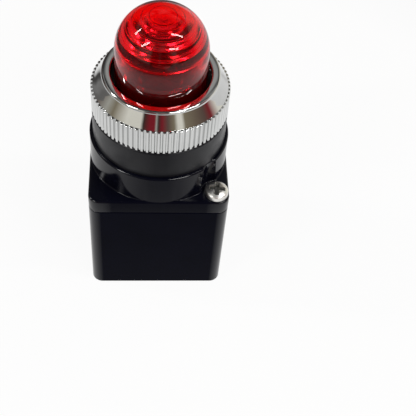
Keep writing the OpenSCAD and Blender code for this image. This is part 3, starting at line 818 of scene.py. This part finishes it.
def screw_surface(head_r, head_h, shank_r, length):
    """A pan head screw about the axis, head upwards from height 0. The section runs from the tip up the
    shank and over the domed head to its middle, and the cross recess is taken off the height of the top.
    Returns the points and their depth in the recess."""
    rim = head_h * RIM_H
    section = rounded([(0, -length, 0), (shank_r, -length, TIP_ROUND), (shank_r, 0, 0),
                       (head_r, 0, HEAD_FOOT_ROUND), (head_r, rim, head_h * RIM_ROUND),
                       (head_r * CROWN_R, head_h * CROWN_H, head_r * CROWN_ROUND), (0, head_h, 0)])
    section = subdivided(section, HEAD_STRETCH * head_r / SCREW_HEAD_R)
    points = revolved(section, even_turn(SCREW_COLUMNS))
    depth = cross_depth(points[..., 0], points[..., 1], head_r * RECESS_REACH, head_r * RECESS_WIDTH)
    depth = np.where(section[:, 1] > rim, depth, 0)
    points[..., 2] -= depth * head_h * RECESS_DEPTH
    return points, depth


def upright_turn(degrees):
    """A turn about the upright axis."""
    return Matrix.Rotation(math.radians(degrees), 3, "Z")


def fixing_screw_surfaces():
    """The two corner screws, each turned as a hand would leave it. Returns them and their recess
    depths."""
    seat = SCREW_HIGH.z - SCREW_HEAD_H
    one, depth = screw_surface(SCREW_HEAD_R, SCREW_HEAD_H, SCREW_R, seat - SCREW_LOW.z)
    pair = [moved(one, upright_turn(degrees), (side * SCREW_AT, -side * SCREW_AT, seat))
            for side, degrees in FIXING_SCREWS]
    return pair, [depth] * len(pair)


def terminal_screw_surfaces():
    """The six terminal screws, heads towards the back face. Returns them and their recess depths."""
    seat = TERMINAL_SCREW_LOW.z + TERMINAL_HEAD_H
    length = TERMINAL_SCREW_HIGH.z - seat
    one, depth = screw_surface(TERMINAL_HEAD_R, TERMINAL_HEAD_H, TERMINAL_SCREW_R, length)
    over = Matrix.Rotation(math.pi, 3, "X")
    turned = []
    for row in (-1, 0, 1):
        for side in (-1, 1):
            spin = upright_turn(TERMINAL_TURN + TURN_BY_ROW * row + TURN_BY_SIDE * side)
            turned.append(moved(one, over @ spin, (side * TERMINAL_X, row * TERMINAL_PITCH, seat)))
    return turned, [depth] * len(turned)


surfaces, depths = fixing_screw_surfaces()
fixing_screws = piece_of("fixing_screw_pair", surfaces, sharp=40, recess=depths)
placed(fixing_screws, "housing", screw_nickel, "fixing_screws")
surfaces, depths = terminal_screw_surfaces()
terminal_screws = piece_of("terminal_screw_set", surfaces, sharp=40, recess=depths)
placed(terminal_screws, "housing", screw_nickel, "terminal_screws")


# Return spring

def coil_surface(low, high, radius, wire, turns):
    """A round wire carried along a helix: the middle of the wire climbs evenly while it turns, and a
    circle of the wire's radius stands across it, drawn to a point at both ends."""
    along = np.concatenate([[0], np.linspace(0, 1, turns * SPRING_STEPS + 1), [1]])
    size = np.ones(len(along))
    size[[0, -1]] = 0
    turn = TAU * turns * along[:, None]
    around = even_turn(WIRE_COLUMNS)[None, :]
    r = radius + wire / 2 * size[:, None] * np.cos(around)
    z = low + wire / 2 + (high - low - wire) * along[:, None] - wire / 2 * size[:, None] * np.sin(around)
    return np.stack([r * np.cos(turn), r * np.sin(turn), z], 2).transpose(1, 0, 2)


coil = coil_surface(SPRING_LOW.z, SPRING_HIGH.z, SPRING_HIGH.x - SPRING_WIRE / 2, SPRING_WIRE, SPRING_TURNS)
return_spring = piece_of("return_coil", [coil], sharp=80)
placed(return_spring, "housing", spring_steel, "return_spring")
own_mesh(return_spring)

# Pieces that keep their own solids

NODE_MATERIALS = {
    "contact_housing": housing_black,
    "lens_holder": holder_black,
    "contact_carrier": moulding_cream,
    "nc_bridge": contact_copper,
    "no_bridge": contact_copper,
    "nc_contact_spring": spring_steel,
    "no_contact_spring": spring_steel,
    "nc_terminal_left": terminal_brass,
    "nc_terminal_right": terminal_brass,
    "no_terminal_left": terminal_brass,
    "no_terminal_right": terminal_brass,
    "lamp_terminal_shell": terminal_brass,
    "lamp_terminal_tip": terminal_brass,
    "terminal_clamps": screw_nickel,
    "lamp_holder": moulding_cream,
    "lamp_socket": terminal_brass,
    "socket_insulator": insulator_brown,
    "centre_contact": terminal_brass,
    "lamp_cap": terminal_brass,
    "lamp_glass": lamp_clear,
}
for node_name, node_material in NODE_MATERIALS.items():
    node_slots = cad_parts[node_name].data.materials
    node_slots.clear()
    node_slots.append(node_material)


# Stage: floor, world, lights and camera

def pale_floor(half, height):
    """A flat floor that reads white to the camera and through the lens, and still takes the object's soft
    shadow. Chrome mirrors a round white sheet on it, a dark mat round that and the floor beyond, which is
    dim on the left and pale on the right."""
    corners = np.array([[[x, y, height] for y in (-half, half)] for x in (-half, half)], float)
    floor = piece_of("floor", [corners], close_u=False)
    material = new_material("floor_white", Roughness=FLOOR_ROUGHNESS)
    tree, shader = material.node_tree, shader_of(material)
    place = own_place(tree)
    away = length_of(tree, place)
    sheet = ranged(tree, away, (1, 0), SHEET_SPAN)
    left = ranged(tree, away, (0, DIM_LEFT), MAT_SPAN)
    right = ranged(tree, axes_of(tree, place)["X"], (0, PALE_RIGHT), RIGHT_SPAN)
    pale = computed(tree, "MAXIMUM", sheet, computed(tree, "MAXIMUM", left, right))
    feed(tree, shader.inputs["Base Color"], mixed(tree, pale, FLOOR_DARK, FLOOR_PALE))
    ray = tree.nodes.new("ShaderNodeLightPath").outputs
    mirrored = computed(tree, "MULTIPLY", ray["Is Glossy Ray"], pale)
    seen = computed(tree, "MAXIMUM", ray["Is Camera Ray"], ray["Is Transmission Ray"])
    lit = computed(tree, "MULTIPLY", computed(tree, "MAXIMUM", seen, mirrored), FLOOR_GLOW)
    glow = tree.nodes.new("ShaderNodeEmission")
    feed(tree, glow.inputs["Color"], (1, 1, 1, 1))
    blend = tree.nodes.new("ShaderNodeMixShader")
    for socket, value in zip(blend.inputs, (lit, shader.outputs["BSDF"], glow.outputs["Emission"])):
        feed(tree, socket, value)
    feed(tree, tree.nodes["Material Output"].inputs["Surface"], blend.outputs["Shader"])
    floor.data.materials.append(material)


def room_colour(tree, axes):
    """Colour of the room by the azimuth of a direction alone, through the stops of ROOM_BAND."""
    band = tree.nodes.new("ShaderNodeValToRGB")
    stops = band.color_ramp.elements
    while len(stops) < len(ROOM_BAND):
        stops.new(0.5)
    for stop, (degrees, colour) in zip(stops, ROOM_BAND):
        stop.position = (degrees + 180) / 360
        stop.color = (*colour, 1)
    azimuth = computed(tree, "ARCTAN2", axes["Y"], axes["X"])
    feed(tree, band.inputs["Fac"], ranged(tree, azimuth, SHARE, (-math.pi, math.pi)))
    return band.outputs["Color"]


def studio_world():
    """A plain room for the chrome to mirror. Above the room's band of colours is a ceiling that is dark
    with soft clouds, and dark again overhead. Through the lens, the half behind the object is pale, and
    to the camera all of it is as pale as the floor."""
    world = bpy.data.worlds.new("studio")
    bpy.context.scene.world = world
    world.use_nodes = True
    tree = world.node_tree
    direction = own_place(tree, "Generated")
    axes = axes_of(tree, direction)
    cover = ranged(tree, noise_over(tree, direction, CLOUD_WAVES, turn=CLOUD_TURN), SHARE, CLOUD_SPAN)
    clouds = mixed(tree, cover, CLOUD_DARK, CLOUD_LIGHT)
    ceiling = mixed(tree, ranged(tree, axes["Z"], SHARE, OVERHEAD_SPAN), clouds, OVERHEAD)
    room = mixed(tree, ranged(tree, axes["Z"], SHARE, CEILING_SPAN), room_colour(tree, axes), ceiling)
    behind = mixed(tree, ranged(tree, axes["Y"], SHARE, BEHIND_SPAN), room, BEHIND)
    ray = tree.nodes.new("ShaderNodeLightPath").outputs
    through = mixed(tree, ray["Is Transmission Ray"], room, behind)
    shown = mixed(tree, ray["Is Camera Ray"], through, BACKDROP)
    feed(tree, tree.nodes["Background"].inputs["Color"], shown)


def towards(azimuth, height):
    """Unit vector of a direction, from its azimuth from +X and its height over the floor, in degrees."""
    turn, rise = math.radians(azimuth), math.radians(height)
    return np.array([math.cos(turn) * math.cos(rise), math.sin(turn) * math.cos(rise), math.sin(rise)])


def set_down(thing, place, axes):
    """Puts a lamp or the camera in its place, with its three axes as the columns of its rotation."""
    bpy.context.scene.collection.objects.link(thing)
    rotation = Matrix(np.stack(axes, 1).tolist()).to_4x4()
    thing.matrix_world = Matrix.Translation(place.tolist()) @ rotation


def strip_lamp(name, first, last):
    """A strip lamp that faces the lens, from one direction to another, at LAMP_REACH from the lens."""
    first, last = towards(*first), towards(*last)
    back = (first + last) / np.linalg.norm(first + last)
    along = (last - first) / np.linalg.norm(last - first)
    length = LAMP_REACH * np.linalg.norm(last - first)
    data = bpy.data.lights.new(name, "AREA")
    data.shape = "RECTANGLE"
    data.size = LAMP_WIDTH
    data.size_y = length
    data.energy = LAMP_WATTS_PER_AREA * LAMP_WIDTH * length
    place = back * LAMP_REACH + np.array([0, 0, LAMP_AIM])
    set_down(bpy.data.objects.new(name, data), place, (np.cross(along, back), along, back))


def photo_camera():
    """The camera at the photograph's place: its axes from pitch, yaw and roll, and its lens from the
    focal length in pixels."""
    pitch, roll, yaw = np.radians([CAMERA_PITCH, CAMERA_ROLL, CAMERA_YAW])
    forward = np.array([math.sin(yaw) * math.cos(pitch), math.cos(yaw) * math.cos(pitch), -math.sin(pitch)])
    level = np.array([math.cos(yaw), -math.sin(yaw), 0])
    down = np.cross(forward, level)
    right = math.cos(roll) * level + math.sin(roll) * down
    low = math.cos(roll) * down - math.sin(roll) * level
    data = bpy.data.cameras.new("photo")
    data.sensor_width = SENSOR_MM
    data.lens = CAMERA_FOCAL_PX / FRAME_PX * SENSOR_MM
    data.clip_start = CAMERA_NEAR
    camera = bpy.data.objects.new("photo", data)
    set_down(camera, CAMERA_AT, (right, -low, -forward))
    bpy.context.scene.camera = camera


pale_floor(FLOOR_HALF, CASE_LOW.z)
studio_world()
for lamp_name, (lamp_first, lamp_last) in STRIPS.items():
    strip_lamp(lamp_name, lamp_first, lamp_last)
photo_camera()
bpy.context.scene.view_settings.view_transform = "Standard"
